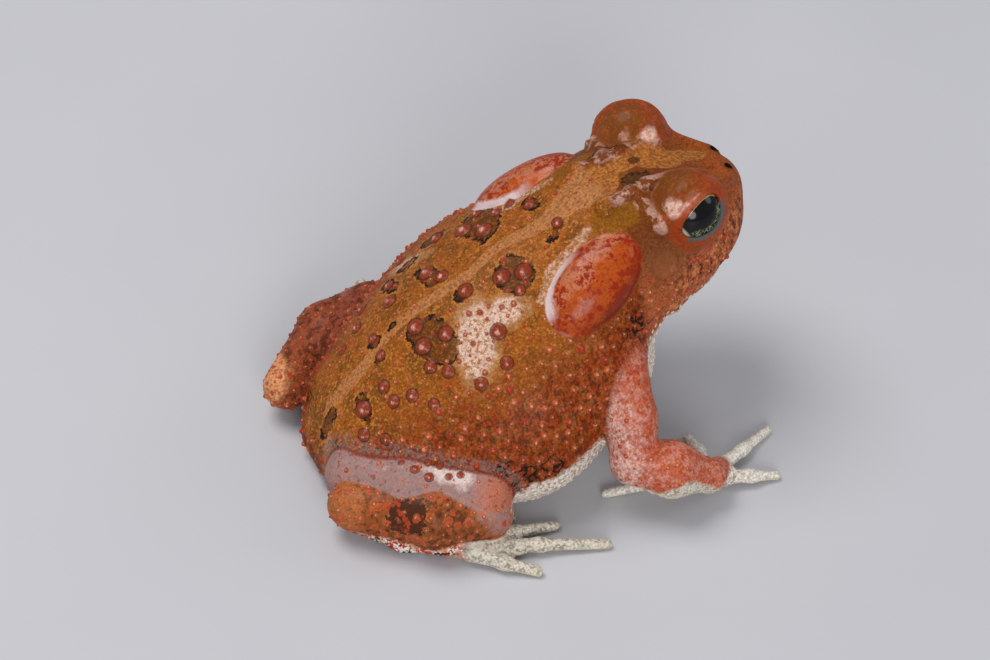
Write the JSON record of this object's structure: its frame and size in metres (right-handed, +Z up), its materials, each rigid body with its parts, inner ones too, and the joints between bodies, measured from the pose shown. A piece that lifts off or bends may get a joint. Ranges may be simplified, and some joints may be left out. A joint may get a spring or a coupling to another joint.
{
  "type": "southern toad model",
  "caption": "Life-size still model of a southern toad sitting on the floor, legs folded, head raised and warty back sloping down",
  "frame": {"origin": "On the flat underside of the belly, at floor level, under the front of the trunk and on the animal's middle plane", "axes": "+X towards the snout, +Y to the animal's left, +Z up from the floor"},
  "size_m": [0.0626, 0.0573, 0.0368],
  "materials": {
    "back_skin": "dry, warty and finely grained, ochre to rusty brown",
    "head_skin": "smoother, rusty orange-red",
    "gland_skin": "smooth with small pores, orange-red",
    "arm_skin": "finely speckled brick red and pink",
    "hand_skin": "cream, finely granular, slightly moist",
    "leg_skin": "warty, brown-red with dark bars",
    "foot_skin": "cream to mottled, finely granular",
    "eye": "wet and glossy, black pupil with gold flecks"
  },
  "bodies": {
    "root": {"torso": "back_skin", "head": "head_skin", "eye_left": "eye", "eye_right": "eye", "parotoid_left": "gland_skin", "parotoid_right": "gland_skin", "upper_arm_left": "arm_skin", "upper_arm_right": "arm_skin", "forearm_left": "arm_skin", "forearm_right": "arm_skin", "hand_left": "hand_skin", "hand_right": "hand_skin", "thigh_left": "leg_skin", "thigh_right": "leg_skin", "shank_left": "leg_skin", "shank_right": "leg_skin", "foot_left": "foot_skin", "foot_right": "foot_skin"}
  },
  "joints": []
}
